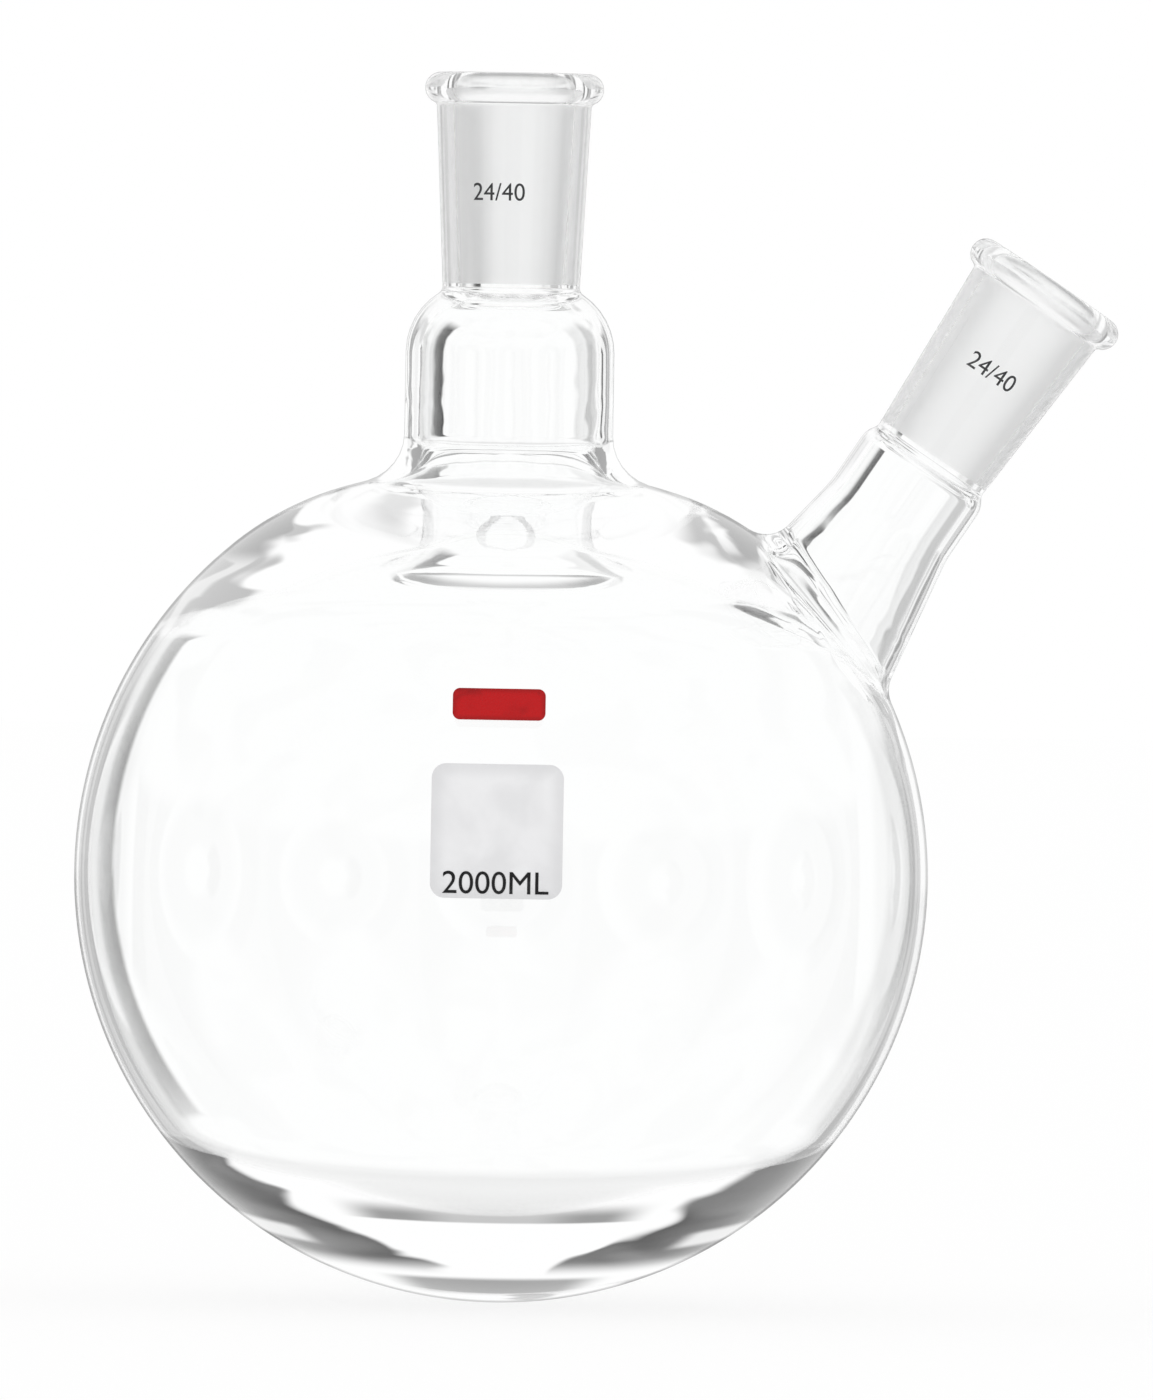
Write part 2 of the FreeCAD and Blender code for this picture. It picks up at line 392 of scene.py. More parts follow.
def side_place(point):
    """A point seen along the side neck's axis: its offset across the axis, and its height."""
    gap = point - side_foot
    return Vector((gap.dot(side_across), gap.dot(side_back))), gap.dot(side_up)


def ring_radius(ring, flat):
    """How wide a seal's ring is in the direction of a point seen along the axis."""
    turn = math.atan2(flat.y, flat.x) / math.tau * columns
    low = math.floor(turn)
    near = side_place(vertices[ring[low % columns]])[0].length
    far = side_place(vertices[ring[(low + 1) % columns]])[0].length
    return near + (far - near) * (turn - low)


def pierced(rings, ring):
    """Stitches a skin of the bulb, left open round a seal, and closes it up to the seal."""
    inside = set()
    for row in rings:
        for spot in row:
            flat, height = side_place(vertices[spot])
            if height > 0 and flat.length < ring_radius(ring, flat) + seal_margin:
                inside.add(spot)
    border = {}
    for first, second in zip(rings, rings[1:]):
        size = max(len(first), len(second))
        for column in range(size):
            following = (column + 1) % size
            corners = [first[column % len(first)], second[column % len(second)]]
            if len(second) > 1:
                corners.append(second[following])
            if len(first) > 1:
                corners.append(first[following])
            if not inside.intersection(corners):
                pane(corners)
                continue
            for start, end in zip(corners, corners[1:] + corners[:1]):
                edge = (min(start, end), max(start, end))
                border[edge] = border.get(edge, 0) + 1
    loop = [edge for edge, count in border.items() if count == 1]
    spots = sorted({spot for edge in loop for spot in edge}) + list(ring)
    order = {spot: place for place, spot in enumerate(spots)}
    edges = [(order[start], order[end]) for start, end in loop]
    edges += [(order[ring[column]], order[ring[(column + 1) % columns]]) for column in range(columns)]
    flats = [side_place(vertices[spot])[0] for spot in spots]
    result = geometry.delaunay_2d_cdt(flats, edges, [], 1, hair)
    for face in result[2]:
        corners = [spots[result[3][corner][0]] for corner in face]
        centre = sum((side_place(vertices[corner])[0] for corner in corners), Vector((0, 0))) / 3
        if centre.length > ring_radius(ring, centre):
            pane(corners)


def turned(section):
    """The rings of a section turned about the upright axis; a spot on the axis is a pole."""
    rings = []
    for place, facing, ground in section.spots:
        ring = []
        for column in range(1 if place.x < hair else columns):
            angle = math.tau * column / columns
            turn = Vector((math.sin(angle), math.cos(angle)))
            where = Vector((turn.x * place.x, turn.y * place.x, place.y))
            ring.append(keep(where, Vector((turn.x * facing.x, turn.y * facing.x, facing.y))))
        rings.append(ring)
    return rings


body_rings = turned(body)
pierced(body_rings[:outer_rows], side_rings[0])
pierced(body_rings[inner_rows - 1 :], side_rings[-1])
for row in range(outer_rows - 1, inner_rows - 1):
    stitch(body_rings[row], body_rings[row + 1], body.spots[row][2] and body.spots[row + 1][2])

used = sorted({corner for face in panes for corner in face})
place_of = {spot: number for number, spot in enumerate(used)}
glass_mesh = bpy.data.meshes.new("flask_glass")
glass_mesh.from_pydata(
    [vertices[spot] for spot in used], [], [[place_of[corner] for corner in face] for face in panes]
)
glass_mesh.polygons.foreach_set("use_smooth", [True] * len(panes))
glass_mesh.polygons.foreach_set("material_index", [int(ground) for ground in ground_panes])
glass_mesh.normals_split_custom_set_from_vertices([facings[spot] for spot in used])
glass_mesh.validate()
flask_glass = bpy.data.objects.new("flask_glass", glass_mesh)
bpy.context.collection.objects.link(flask_glass)
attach(flask_glass, "root")
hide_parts("flask")


def new_material(name):
    material = bpy.data.materials.new(name)
    material.use_nodes = True
    return material, material.node_tree, material.node_tree.nodes["Principled BSDF"]


def feed(tree, socket, value):
    """Gives a node's input a plain value or another node's output."""
    if isinstance(value, bpy.types.NodeSocket):
        tree.links.new(value, socket)
    else:
        socket.default_value = value


def worked(tree, operation, *values):
    """The result of a sum on plain values and other nodes' outputs."""
    node = tree.nodes.new("ShaderNodeMath")
    node.operation = operation
    for socket, value in zip(node.inputs, values):
        feed(tree, socket, value)
    return node.outputs[0]


def smooth(tree, value, low, high):
    """Zero below low and one above high, with a soft step between them."""
    node = tree.nodes.new("ShaderNodeMapRange")
    node.interpolation_type = "SMOOTHSTEP"
    feed(tree, node.inputs["Value"], value)
    feed(tree, node.inputs["From Min"], low)
    feed(tree, node.inputs["From Max"], high)
    return node.outputs["Result"]


def object_place(tree):
    return tree.nodes.new("ShaderNodeTexCoord").outputs["Object"]


def noise(tree, place, scale, detail, distortion=0.0):
    node = tree.nodes.new("ShaderNodeTexNoise")
    feed(tree, node.inputs["Vector"], place)
    feed(tree, node.inputs["Scale"], scale)
    feed(tree, node.inputs["Detail"], detail)
    feed(tree, node.inputs["Distortion"], distortion)
    return node.outputs["Fac"]


def nearby(tree, place, spot, core, reach):
    """One within the core of a spot of the flask, fading to nothing at its reach."""
    gap = tree.nodes.new("ShaderNodeVectorMath")
    gap.operation = "DISTANCE"
    feed(tree, gap.inputs[0], place)
    feed(tree, gap.inputs[1], spot)
    return worked(tree, "SUBTRACT", 1.0, smooth(tree, gap.outputs["Value"], core, reach))


def raised(tree, height, distance, strength=1.0):
    """A bump whose height runs from nothing to the given distance."""
    node = tree.nodes.new("ShaderNodeBump")
    feed(tree, node.inputs["Height"], height)
    feed(tree, node.inputs["Distance"], distance)
    feed(tree, node.inputs["Strength"], strength)
    return node.outputs["Normal"]


glass_clear = (0.996, 0.999, 0.998, 1)
glass_bending = 1.473
deepest_bounce = 3.5
side_seal_rise = 0.074
centre_seal_rise = 0.162
side_seal = side_foot + side_up * side_seal_rise
centre_seal = Vector((0, 0, centre_seal_rise))
seal_core = 0.016
seal_fade = 0.034
ripple_scale = 70.0
ripple_detail = 1.5
ripple_twist = 0.6
ripple_depth = 0.00028

# The seals are faintly rippled by the flame. Light held in thick glass past the deepest bounce
# goes straight on out of it, in place of the rest of its path.
clear_glass, tree, surface = new_material("clear_glass")
surface.inputs["Base Color"].default_value = glass_clear
surface.inputs["Roughness"].default_value = 0.0
surface.inputs["IOR"].default_value = glass_bending
surface.inputs["Transmission Weight"].default_value = 1.0
place = object_place(tree)
by_seals = worked(
    tree,
    "MAXIMUM",
    nearby(tree, place, side_seal, seal_core, seal_fade),
    nearby(tree, place, centre_seal, seal_core, seal_fade),
)
ripples = worked(tree, "MULTIPLY", by_seals, noise(tree, place, ripple_scale, ripple_detail, ripple_twist))
feed(tree, surface.inputs["Normal"], raised(tree, ripples, ripple_depth))
path = tree.nodes.new("ShaderNodeLightPath")
trapped = worked(tree, "GREATER_THAN", path.outputs["Glossy Depth"], deepest_bounce)
leak = tree.nodes.new("ShaderNodeBsdfTransparent")
either = tree.nodes.new("ShaderNodeMixShader")
feed(tree, either.inputs[0], trapped)
feed(tree, either.inputs[1], surface.outputs[0])
feed(tree, either.inputs[2], leak.outputs[0])
feed(tree, tree.nodes["Material Output"].inputs["Surface"], either.outputs[0])
glass_mesh.materials.append(clear_glass)

# Both sockets are ground with fine grit, which leaves them evenly frosted.
ground_clear = (0.995, 0.997, 0.997, 1)
ground_passing = 0.93
frost_scale = 1800.0
frost_detail = 2.0
frost_least = 0.26
frost_spread = 0.08
frost_depth = 0.000002

ground_glass, tree, surface = new_material("ground_glass")
surface.inputs["Base Color"].default_value = ground_clear
surface.inputs["IOR"].default_value = glass_bending
surface.inputs["Transmission Weight"].default_value = ground_passing
place = object_place(tree)
frost = noise(tree, place, frost_scale, frost_detail)
feed(tree, surface.inputs["Roughness"], worked(tree, "MULTIPLY_ADD", frost, frost_spread, frost_least))
feed(tree, surface.inputs["Normal"], raised(tree, frost, frost_depth))
glass_mesh.materials.append(ground_glass)


# The marking spot is a coat of translucent white enamel, laid on through a stencil and fired onto
# the front of the bulb, so that one can write on it with a pencil. It is matt, faintly cloudy, and
# greyer along its edge, where the coat is thicker.
cloud_detail = 3.0
cloud_twist = 0.4
grain_detail = 2.0
fired_enamel = bpy.data.node_groups.new("fired_enamel", "ShaderNodeTree")
for name in ("Cloud Scale", "Grain Scale"):
    fired_enamel.interface.new_socket(name, in_out="INPUT", socket_type="NodeSocketFloat")
for name in ("Cloud", "Grain"):
    fired_enamel.interface.new_socket(name, in_out="OUTPUT", socket_type="NodeSocketFloat")
given = fired_enamel.nodes.new("NodeGroupInput")
result = fired_enamel.nodes.new("NodeGroupOutput")
place = object_place(fired_enamel)
clouds = noise(fired_enamel, place, given.outputs["Cloud Scale"], cloud_detail, cloud_twist)
grains = noise(fired_enamel, place, given.outputs["Grain Scale"], grain_detail)
feed(fired_enamel, result.inputs["Cloud"], clouds)
feed(fired_enamel, result.inputs["Grain"], grains)


def enamelled(tree, cloud_scale, grain_scale):
    node = tree.nodes.new("ShaderNodeGroup")
    node.node_tree = fired_enamel
    node.inputs["Cloud Scale"].default_value = cloud_scale
    node.inputs["Grain Scale"].default_value = grain_scale
    return node.outputs["Cloud"], node.outputs["Grain"]


def blended(tree, share, first, second):
    """A colour between two others."""
    node = tree.nodes.new("ShaderNodeMix")
    node.data_type = "RGBA"
    feed(tree, node.inputs["Factor"], share)
    feed(tree, node.inputs["A"], first)
    feed(tree, node.inputs["B"], second)
    return node.outputs["Result"]


def toward_edge(tree, node_name, margin):
    """One at the left, right, top and bottom edge of a mark, and zero a margin further in."""
    low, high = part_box(node_name)
    parts = tree.nodes.new("ShaderNodeSeparateXYZ")
    feed(tree, parts.inputs[0], object_place(tree))
    inset = None
    for axis in ("X", "Z"):
        number = "XYZ".index(axis)
        middle = (low[number] + high[number]) / 2
        off = worked(tree, "ABSOLUTE", worked(tree, "SUBTRACT", parts.outputs[axis], middle))
        gap = worked(tree, "SUBTRACT", (high[number] - low[number]) / 2, off)
        inset = gap if inset is None else worked(tree, "MINIMUM", inset, gap)
    return worked(tree, "SUBTRACT", 1.0, smooth(tree, inset, 0.0, margin))


def dress(node_name, material):
    """Gives a carried-over CAD node its finished material."""
    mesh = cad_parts[node_name].data
    mesh.materials.clear()
    mesh.materials.append(material)


spot_pale = (0.86, 0.86, 0.87, 1)
spot_grey = (0.78, 0.78, 0.79, 1)
spot_edge = (0.71, 0.71, 0.72, 1)
spot_cloud_scale = 70.0
spot_grain_scale = 1600.0
spot_cloudy = (0.35, 0.65)
spot_margin = 0.0035
spot_edge_share = 0.7
spot_least_rough = 0.45
spot_rough_spread = 0.2
spot_gloss = 0.3
spot_grain_depth = 0.00002

spot_enamel, tree, surface = new_material("white_enamel")
cloud, grain = enamelled(tree, spot_cloud_scale, spot_grain_scale)
tint = blended(tree, smooth(tree, cloud, *spot_cloudy), spot_grey, spot_pale)
edge = toward_edge(tree, "marking_spot", spot_margin)
tint = blended(tree, worked(tree, "MULTIPLY", edge, spot_edge_share), tint, spot_edge)
feed(tree, surface.inputs["Base Color"], tint)
rough = worked(tree, "MULTIPLY_ADD", grain, spot_rough_spread, spot_least_rough)
feed(tree, surface.inputs["Roughness"], rough)
surface.inputs["Specular IOR Level"].default_value = spot_gloss
feed(tree, surface.inputs["Normal"], raised(tree, grain, spot_grain_depth))
dress("marking_spot", spot_enamel)


# The colour bar is a plain strip of glossy red enamel, printed above the spot and fired onto the
# bulb. It is darker along its edge, and in places where the coat is thicker.
bar_red = (0.50, 0.004, 0.006, 1)
bar_dark = (0.20, 0.002, 0.003, 1)
bar_cloud_scale = 120.0
bar_grain_scale = 1400.0
bar_cloudy = (0.45, 0.75)
bar_margin = 0.0012
bar_edge_share = 0.5
bar_least_rough = 0.2
bar_rough_spread = 0.15
bar_gloss = 0.2
bar_grain_depth = 0.00001

bar_enamel, tree, surface = new_material("red_enamel")
cloud, grain = enamelled(tree, bar_cloud_scale, bar_grain_scale)
edge = toward_edge(tree, "colour_bar", bar_margin)
edge_depth = worked(tree, "MULTIPLY", edge, bar_edge_share)
depth = worked(tree, "MAXIMUM", edge_depth, smooth(tree, cloud, *bar_cloudy))
feed(tree, surface.inputs["Base Color"], blended(tree, depth, bar_red, bar_dark))
rough = worked(tree, "MULTIPLY_ADD", grain, bar_rough_spread, bar_least_rough)
feed(tree, surface.inputs["Roughness"], rough)
surface.inputs["Specular IOR Level"].default_value = bar_gloss
feed(tree, surface.inputs["Normal"], raised(tree, grain, bar_grain_depth))
dress("colour_bar", bar_enamel)


# The figures are printed in dark ceramic ink and fired: the capacity low on the spot, and the
# joint's size on the outside of both sockets.
print_height = 0.00006
print_depth = 0.00004
enamel_thickness = 0.00012
finest_strip = 0.0004
weld = 0.000004
same_corner = 1e-5
curve_steps = 6
ink_cloud_scale = 500.0
ink_grain_scale = 2500.0
ink_worn = (0.5, 0.8)
ink_least_rough = 0.4
ink_rough_spread = 0.2
ink_gloss = 0.15
ink_grain_depth = 0.00001


def outside_radius(section, height):
    """How wide a section's outside is at a height up its neck."""
    for start, end in zip(section.spots, section.spots[1:]):
        low, facing, high = start[0], start[1], end[0]
        if facing.x > 0 and low.y <= height < high.y:
            return low.x + (high.x - low.x) * (height - low.y) / (high.y - low.y)


def printed(name, words, tall, wide, laid, ink):
    """Figures of one height and width, laid onto the glass by a function of across, up and out."""
    letters = bpy.data.curves.new(name, "FONT")
    letters.body = words
    letters.resolution_u = curve_steps
    letters.extrude = 0.5
    source = bpy.data.objects.new(name, letters)
    bpy.context.collection.objects.link(source)
    flat = bpy.data.meshes.new_from_object(source.evaluated_get(bpy.context.evaluated_depsgraph_get()))
    bpy.data.objects.remove(source)
    shape = bmesh.new()
    shape.from_mesh(flat)
    bpy.data.meshes.remove(flat)
    bmesh.ops.remove_doubles(shape, verts=shape.verts, dist=same_corner)
    low = [min(vertex.co[axis] for vertex in shape.verts) for axis in range(3)]
    high = [max(vertex.co[axis] for vertex in shape.verts) for axis in range(3)]
    for vertex in shape.verts:
        across = ((vertex.co.x - low[0]) / (high[0] - low[0]) - 0.5) * wide
        up = ((vertex.co.y - low[1]) / (high[1] - low[1]) - 0.5) * tall
        vertex.co = Vector((across, up, print_height if vertex.co.z > 0 else -print_depth))
    for level in range(1, math.ceil(wide / finest_strip)):
        cut = -wide / 2 + level * finest_strip
        everything = list(shape.verts) + list(shape.edges) + list(shape.faces)
        bmesh.ops.bisect_plane(shape, geom=everything, plane_co=(cut, 0, 0), plane_no=(1, 0, 0))
    bmesh.ops.remove_doubles(shape, verts=shape.verts, dist=weld)
    bmesh.ops.dissolve_degenerate(shape, edges=shape.edges, dist=weld)
    for vertex in shape.verts:
        vertex.co = laid(*vertex.co)
    mesh = bpy.data.meshes.new(name)
    shape.to_mesh(mesh)
    shape.free()
    mesh.materials.append(ink)
    piece = bpy.data.objects.new(name, mesh)
    bpy.context.collection.objects.link(piece)
    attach(piece, "root")


def new_ink(name, dark, worn):
    """Fired ceramic ink, a little thin and worn in places."""
    ink, tree, surface = new_material(name)
    cloud, grain = enamelled(tree, ink_cloud_scale, ink_grain_scale)
    feed(tree, surface.inputs["Base Color"], blended(tree, smooth(tree, cloud, *ink_worn), dark, worn))
    rough = worked(tree, "MULTIPLY_ADD", grain, ink_rough_spread, ink_least_rough)
    feed(tree, surface.inputs["Roughness"], rough)
    surface.inputs["Specular IOR Level"].default_value = ink_gloss
    feed(tree, surface.inputs["Normal"], raised(tree, grain, ink_grain_depth))
    return ink


capacity_tall = 0.0043
capacity_wide = 0.0203
capacity_rise = 0.0006
capacity_shift = -0.0008


def on_spot(across, up, out):
    """Onto the front of the bulb, over the spot's enamel."""
    turn = (across + capacity_shift) / bulb_radius
    lift = (up + capacity_rise) / bulb_radius
    reach = bulb_radius + enamel_thickness + out
    way = Vector((math.sin(turn) * math.cos(lift), -math.cos(turn) * math.cos(lift), math.sin(lift)))
    return bulb_middle + way * reach


capacity_dark = (0.012, 0.012, 0.013, 1)
capacity_worn = (0.04, 0.04, 0.042, 1)
capacity_ink = new_ink("black_ink", capacity_dark, capacity_worn)
printed("capacity_figures", "2000ML", capacity_tall, capacity_wide, on_spot, capacity_ink)

joint_tall = 0.0034
joint_wide = 0.0103
centre_height = 0.1328
centre_turn = math.radians(-11.2)
side_height = 0.1347
joint_dark = (0.045, 0.046, 0.048, 1)
joint_worn = (0.11, 0.11, 0.11, 1)
joint_ink = new_ink("grey_ink", joint_dark, joint_worn)


def on_centre_joint(across, up, out):
    radius = outside_radius(body, bulb_radius + centre_height + up)
    turn = centre_turn + across / radius
    height = bulb_radius + centre_height + up
    return Vector((math.sin(turn) * (radius + out), -math.cos(turn) * (radius + out), height))


def on_side_joint(across, up, out):
    radius = outside_radius(side_neck, side_height + up)
    turn = across / radius
    away = side_across * math.sin(turn) - side_back * math.cos(turn)
    return side_foot + side_up * (side_height + up) + away * (radius + out)


printed("centre_joint_figures", "24/40", joint_tall, joint_wide, on_centre_joint, joint_ink)
printed("side_joint_figures", "24/40", joint_tall, joint_wide, on_side_joint, joint_ink)


# The studio: a white table and a white surround. Clear glass shows only what it bends, so rays
# through it, and rays glanced off it, also see darker gaps and edges in the surround. These were
# set to match the photograph, for each kind of ray; everything else sees plain white.
table_white = (0.97, 0.97, 0.97, 1)
table_glow = 0.86
table_rough = 0.9
table_size = 6.0
table_drop = 0.0005

pale_table, tree, surface = new_material("pale_table")
surface.inputs["Base Color"].default_value = table_white
surface.inputs["Roughness"].default_value = table_rough
seen = tree.nodes.new("ShaderNodeEmission")
path = tree.nodes.new("ShaderNodeLightPath")
either = tree.nodes.new("ShaderNodeMixShader")
feed(tree, either.inputs[0], worked(tree, "MULTIPLY", path.outputs["Is Camera Ray"], table_glow))
feed(tree, either.inputs[1], surface.outputs[0])
feed(tree, either.inputs[2], seen.outputs[0])
feed(tree, tree.nodes["Material Output"].inputs["Surface"], either.outputs[0])
table_mesh = bpy.data.meshes.new("table")
corners = [(x * table_size, y * table_size, -table_drop) for x, y in ((-1, -1), (1, -1), (1, 1), (-1, 1))]
table_mesh.from_pydata(corners, [], [(0, 1, 2, 3)])
table_mesh.materials.append(pale_table)
table = bpy.data.objects.new("table", table_mesh)
table.visible_transmission = False
table.visible_glossy = False
bpy.context.collection.objects.link(table)

world = bpy.data.worlds.new("studio")
world.use_nodes = True
bpy.context.scene.world = world
tree = world.node_tree
tree.nodes.clear()
where = tree.nodes.new("ShaderNodeTexCoord")
parts = tree.nodes.new("ShaderNodeSeparateXYZ")
feed(tree, parts.inputs[0], where.outputs["Generated"])
path = tree.nodes.new("ShaderNodeLightPath")
bearing = worked(tree, "DEGREES", worked(tree, "ARCTAN2", parts.outputs["X"], parts.outputs["Y"]))
rise = worked(tree, "DEGREES", worked(tree, "ARCSINE", parts.outputs["Z"]))


def faded(tree, value, low, high):
    """One below low and zero above high, with a soft step between them."""
    return worked(tree, "SUBTRACT", 1.0, smooth(tree, value, low, high))


def product(tree, *values):
    result = values[0]
    for value in values[1:]:
        result = worked(tree, "MULTIPLY", result, value)
    return result


def dimmed(tree, share, amount):
    """One, less an amount where the share is full."""
    return worked(tree, "MULTIPLY_ADD", share, -amount, 1.0)


def gap_drawing(tree, angle, reach, stops):
    """Greys that change along an angle, each stop an angle and its grey."""
    ramp = tree.nodes.new("ShaderNodeValToRGB")
    feed(tree, ramp.inputs[0], worked(tree, "MULTIPLY_ADD", angle, 0.5 / reach, 0.5))
    colours = ramp.color_ramp
    while len(colours.elements) < len(stops):
        colours.elements.new(1.0)
    for element, (degrees, grey) in zip(colours.elements, stops):
        element.position = degrees / reach / 2 + 0.5
        element.color = (grey, grey, grey, 1)
    return ramp.outputs["Color"]


def between(tree, share, first, second):
    """A number between two others."""
    node = tree.nodes.new("ShaderNodeMix")
    node.data_type = "FLOAT"
    feed(tree, node.inputs["Factor"], share)
    feed(tree, node.inputs["A"], first)
    feed(tree, node.inputs["B"], second)
    return node.outputs["Result"]


# Long soft streaks keep the edges of the gaps from being straight, as hand-worked glass does.
streak_turn = 0.03
streak_rise = 0.045
streak_scale = 1.5
streak_detail = 1.0
streak_twist = 0.8
flat = tree.nodes.new("ShaderNodeCombineXYZ")
feed(tree, flat.inputs[0], worked(tree, "MULTIPLY", bearing, streak_turn))
feed(tree, flat.inputs[1], worked(tree, "MULTIPLY", rise, streak_rise))
streaks = noise(tree, flat.outputs[0], streak_scale, streak_detail, streak_twist)

# Seen straight through the glass: a narrow gap at each side of every panel, the darker table far
# below the horizon and the unlit ceiling far above it. Angles are in degrees.
narrow = 22.5
least_away = 0.5
over_panel = (8.0, 13.0)
beside_lean = (0.3, 0.65)
near_lean = (0.6, 0.82)
straight_stops = (
    (-21.5, 0.6),
    (-20.0, 0.9),
    (-16.0, 0.95),
    (-13.0, 0.75),
    (-11.0, 0.08),
    (-9.0, 0.0),
    (-8.2, 0.0),
    (-7.6, 1.0),
    (7.0, 1.0),
    (8.0, 0.8),
    (12.0, 0.85),
    (14.0, 0.5),
    (18.0, 0.5),
)
far_table = (16.0, 22.0)
far_table_dark = 0.2
near_table = (25.0, 31.0)
near_table_dark = 0.5
ceiling = (33.0, 38.0)
ceiling_dark = 0.7
offset = worked(tree, "WRAP", bearing, narrow, -narrow)
sideways = worked(tree, "ABSOLUTE", offset)
rise_squared = worked(tree, "MULTIPLY", rise, rise)
away = worked(tree, "SQRT", worked(tree, "MULTIPLY_ADD", offset, offset, rise_squared))
signed = worked(tree, "MULTIPLY", away, worked(tree, "SIGN", offset))
lean = worked(tree, "DIVIDE", sideways, worked(tree, "MAXIMUM", away, least_away))
beside_panel = product(tree, smooth(tree, lean, *beside_lean), faded(tree, rise, *over_panel))
near_panel = product(tree, smooth(tree, lean, *near_lean), faded(tree, rise, *over_panel))
side_gaps = gap_drawing(tree, signed, narrow, straight_stops)
downward = worked(tree, "MULTIPLY", rise, -1.0)
straight = product(
    tree,
    between(tree, near_panel, 1.0, side_gaps),
    dimmed(tree, smooth(tree, downward, *far_table), far_table_dark),
    dimmed(tree, smooth(tree, downward, *near_table), near_table_dark),
    dimmed(tree, smooth(tree, rise, *ceiling), ceiling_dark),
)

# Glanced off the outside: the gap all round the panel, which draws the outlines.
ring_start = (3.5, 6.0)
ring_end = (11.0, 16.0)
ring_dark = 0.5
ring = product(tree, smooth(tree, away, *ring_start), faded(tree, away, *ring_end))
glanced = dimmed(tree, ring, ring_dark)

# Seen along the wall of the bulb and the necks: broad grey gaps between the panels.
wall_stops = (
    (-22.0, 0.6),
    (-20.4, 0.6),
    (-19.4, 0.28),
    (-14.6, 0.28),
    (-13.4, 1.0),
    (-7.0, 1.0),
    (-6.0, 0.15),
    (-3.0, 0.15),
    (-2.0, 1.0),
    (17.8, 1.0),
    (19.0, 0.34),
    (22.0, 0.34),
)
streak_edge = (0.5, 0.65)
streak_dark = 0.3
wall_gaps = gap_drawing(tree, signed, narrow, wall_stops)
streaky = dimmed(tree, smooth(tree, streaks, *streak_edge), streak_dark)
along_wall = between(tree, beside_panel, streaky, wall_gaps)

# Held in the thick floor and crown until it comes out: a white panel between two dark ones, a
# grey line where the table ends, and another high up.
wide = 45.0
waviness = 24.0
panel_lean = -0.5
panel_half_width = 33.0
panel_soft = 2.0
panel_top = (38.0, 47.0)
panel_streaks = (0.3, 0.7)
panel_streak_dark = 0.14
notch_side = (31.0, 37.0)
notch_low = (26.0, 29.0)
notch_high = (33.0, 36.0)
notch_pale = 0.8
table_end = 20.0
table_end_soft = (0.0, 1.0)
table_end_fade = (3.0, 10.0)
table_end_side = (4.0, 12.0)
table_end_dark = 0.45
table_end_extra = 0.25
table_end_width = (14.0, 21.0)
high_start = (47.0, 50.0)
high_end = (58.0, 62.0)
high_width = (18.0, 32.0)
high_dark = 0.75
aside = worked(tree, "ABSOLUTE", worked(tree, "WRAP", bearing, wide, -wide))
wavy = worked(tree, "MULTIPLY_ADD", worked(tree, "SUBTRACT", streaks, 0.5), waviness, aside)
panel_edge = worked(tree, "MULTIPLY_ADD", rise, panel_lean, panel_half_width)
past_edge = worked(tree, "SUBTRACT", wavy, panel_edge)
notch_rise = product(tree, smooth(tree, rise, *notch_low), faded(tree, rise, *notch_high))
notch = product(tree, smooth(tree, aside, *notch_side), notch_rise)
dark_panel = product(
    tree,
    smooth(tree, past_edge, -panel_soft, panel_soft),
    faded(tree, rise, *panel_top),
    dimmed(tree, smooth(tree, streaks, *panel_streaks), panel_streak_dark),
    dimmed(tree, notch, notch_pale),
)
under_end = worked(tree, "SUBTRACT", table_end, rise)
end_sides = smooth(tree, aside, *table_end_side)
end_line = product(
    tree,
    smooth(tree, under_end, *table_end_soft),
    faded(tree, under_end, *table_end_fade),
    worked(tree, "MULTIPLY_ADD", end_sides, table_end_extra, table_end_dark),
    faded(tree, aside, *table_end_width),
)
high_line = product(
    tree,
    smooth(tree, rise, *high_start),
    faded(tree, rise, *high_end),
    faded(tree, aside, *high_width),
    high_dark,
)
upper = worked(tree, "MAXIMUM", dark_panel, worked(tree, "MAXIMUM", end_line, high_line))

# In the crown, below the horizon: grey side panels with a few streaks before them.
crown_low = (17.0, 26.0)
crown_least = 0.2
crown_more = 0.45
crown_side = (32.0, 38.0)
crown_streak_edge = (0.5, 0.62)
crown_streak_side = (18.0, 26.0)
crown_streak_dark = 0.5
horizon = (-1.0, 1.0)
crown_depth = worked(tree, "MULTIPLY_ADD", smooth(tree, downward, *crown_low), crown_more, crown_least)
crown_panel = product(tree, smooth(tree, wavy, *crown_side), crown_depth)
crown_streaks = product(
    tree,
    smooth(tree, streaks, *crown_streak_edge),
    smooth(tree, aside, *crown_streak_side),
    crown_streak_dark,
)
lower = worked(tree, "MAXIMUM", crown_panel, crown_streaks)
held = worked(tree, "SUBTRACT", 1.0, between(tree, smooth(tree, rise, *horizon), lower, upper))

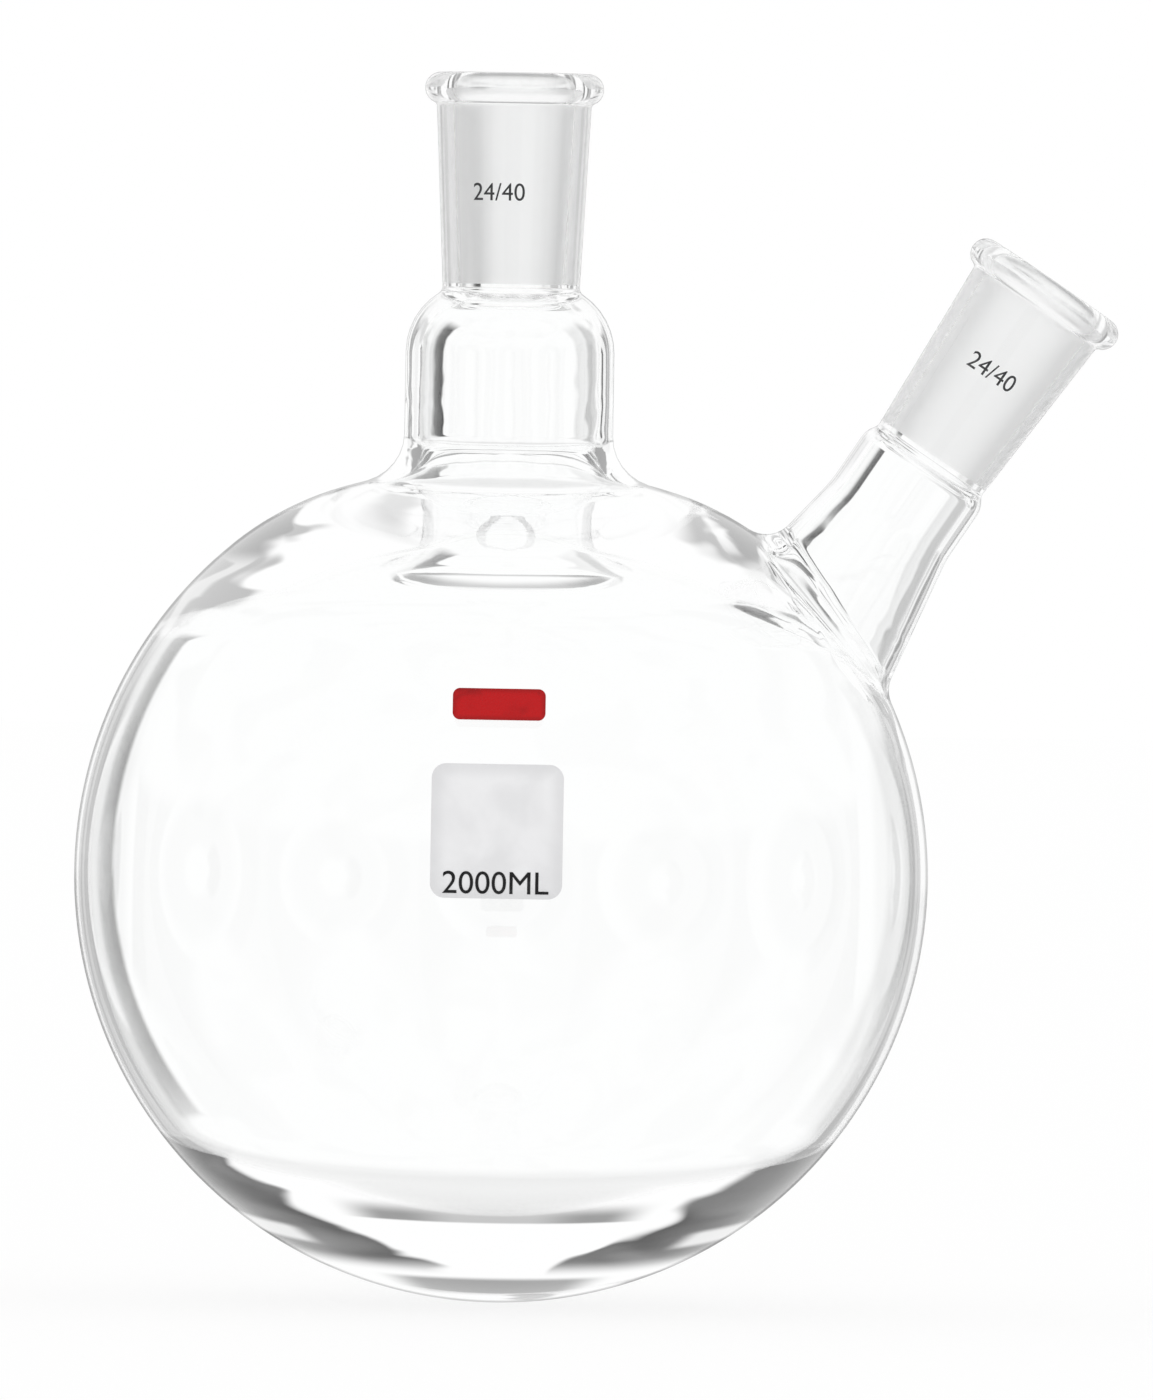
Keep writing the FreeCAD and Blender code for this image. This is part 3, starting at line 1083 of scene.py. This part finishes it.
# Which kind of ray this is. Whatever isn't clear, held or glanced off sees white at strength one.
any_bounce = 0.5
two_walls = 2.5
reflected = worked(tree, "GREATER_THAN", path.outputs["Glossy Depth"], any_bounce)
is_held = worked(tree, "GREATER_THAN", path.outputs["Glossy Depth"], deepest_bounce)
tone = between(tree, is_held, between(tree, reflected, straight, along_wall), held)
past_far_wall = worked(tree, "GREATER_THAN", path.outputs["Transmission Depth"], two_walls)
far_wall = product(tree, reflected, past_far_wall)
undiffused = worked(tree, "LESS_THAN", path.outputs["Diffuse Depth"], any_bounce)
clear = product(
    tree,
    worked(tree, "SUBTRACT", 1.0, far_wall),
    path.outputs["Is Transmission Ray"],
    undiffused,
)
outside = product(
    tree,
    path.outputs["Is Glossy Ray"],
    worked(tree, "LESS_THAN", path.outputs["Transmission Depth"], any_bounce),
    undiffused,
)
tone = between(tree, outside, tone, glanced)
shown = worked(tree, "MAXIMUM", worked(tree, "MAXIMUM", clear, is_held), outside)
background = tree.nodes.new("ShaderNodeBackground")
background.inputs["Color"].default_value = (1, 1, 1, 1)
feed(tree, background.inputs["Strength"], between(tree, shown, 1.0, tone))
output = tree.nodes.new("ShaderNodeOutputWorld")
feed(tree, output.inputs["Surface"], background.outputs[0])

# The camera stands five metres off, a little above the flask, and leans with the photograph.
image_width, image_height = 1153, 1400
bulb_at = Vector((501, 875.5))
scale_at_bulb = 5145
distance = 5.0
pitch = math.radians(1.0)
roll = math.radians(1.0)
film_width = 36.0
furthest_seen = 100.0
camera_data = bpy.data.cameras.new("camera")
camera = bpy.data.objects.new("camera", camera_data)
bpy.context.collection.objects.link(camera)
camera_data.sensor_fit = "HORIZONTAL"
camera_data.sensor_width = film_width
camera_data.lens = scale_at_bulb * distance * camera_data.sensor_width / image_width
turn = Matrix.Rotation(math.pi / 2 - pitch, 4, "X") @ Matrix.Rotation(roll, 4, "Z")
right = (bulb_at.x - image_width / 2) / scale_at_bulb
up = (image_height / 2 - bulb_at.y) / scale_at_bulb
camera.matrix_world = Matrix.Translation(bulb_middle - turn @ Vector((right, up, -distance))) @ turn
camera_data.clip_end = furthest_seen
bpy.context.scene.camera = camera
bpy.context.scene.view_settings.view_transform = "Standard"
